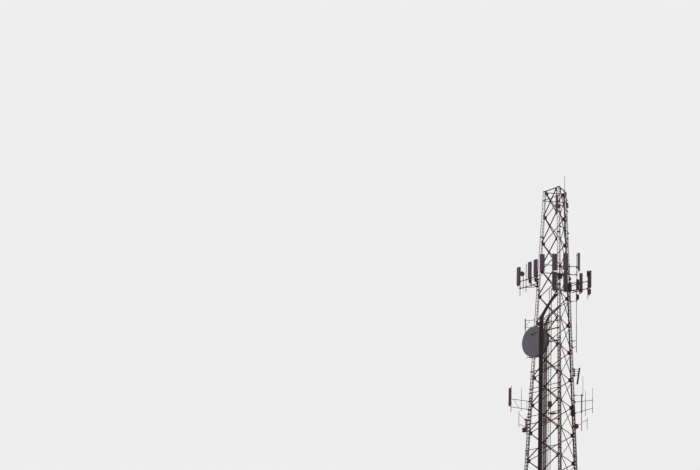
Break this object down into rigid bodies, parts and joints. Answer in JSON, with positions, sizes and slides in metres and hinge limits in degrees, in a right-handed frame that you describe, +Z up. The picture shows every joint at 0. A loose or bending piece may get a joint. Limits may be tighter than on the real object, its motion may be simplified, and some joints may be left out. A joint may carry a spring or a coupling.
{
  "type": "lattice communications tower",
  "caption": "Free-standing three-sided steel lattice tower with lattice legs, carrying panel antennas, a shrouded dish, whips, cable ladders and side arms.",
  "frame": {"origin": "middle of the underside of the front leg's base plate", "axes": "+Z up, -Y out through the front leg, X along the back side of the tower"},
  "size_m": [9.3822, 6.1458, 38.1],
  "materials": {
    "cable_jacket": "matt black jacket",
    "dish_fabric": "taut coated cloth",
    "dish_paint": "matt paint",
    "galvanised_steel": "dull weathered zinc",
    "radome_plastic": "matt, weathered",
    "unit_casing": "matt paint",
    "whip_tube": "satin glass-fibre tube"
  },
  "bodies": {
    "root": {"base_plate_front": "galvanised_steel", "base_plate_right": "galvanised_steel", "base_plate_left": "galvanised_steel", "leg_front_low": "galvanised_steel", "leg_front_mid": "galvanised_steel", "leg_front_top": "galvanised_steel", "leg_right_low": "galvanised_steel", "leg_right_mid": "galvanised_steel", "leg_right_top": "galvanised_steel", "leg_left_low": "galvanised_steel", "leg_left_mid": "galvanised_steel", "leg_left_top": "galvanised_steel", "bracing_right": "galvanised_steel", "bracing_back": "galvanised_steel", "bracing_left": "galvanised_steel", "top_frame": "galvanised_steel", "lightning_mast": "galvanised_steel", "frame_front": "galvanised_steel", "frame_left": "galvanised_steel", "frame_right": "galvanised_steel", "panels_front": "radome_plastic", "panels_left": "radome_plastic", "panels_right": "radome_plastic", "dish": "dish_paint", "dish_radome": "dish_fabric", "dish_mount": "galvanised_steel", "cable_beams": "galvanised_steel", "cable_ladder": "galvanised_steel", "feeder_cables": "cable_jacket", "inner_ladders": "galvanised_steel", "ladder_cables": "cable_jacket", "drop_cables": "cable_jacket", "top_antennas": "radome_plastic", "radios_front": "unit_casing", "radios_side": "unit_casing", "drum_antennas": "unit_casing", "long_whip": "whip_tube", "bracket_antenna": "galvanised_steel", "right_arm": "galvanised_steel", "whip_antennas": "whip_tube", "left_arm": "galvanised_steel", "rod_antennas": "radome_plastic", "low_left_arm": "galvanised_steel", "equipment_boxes": "unit_casing", "rest_platform": "galvanised_steel"}
  },
  "joints": []
}
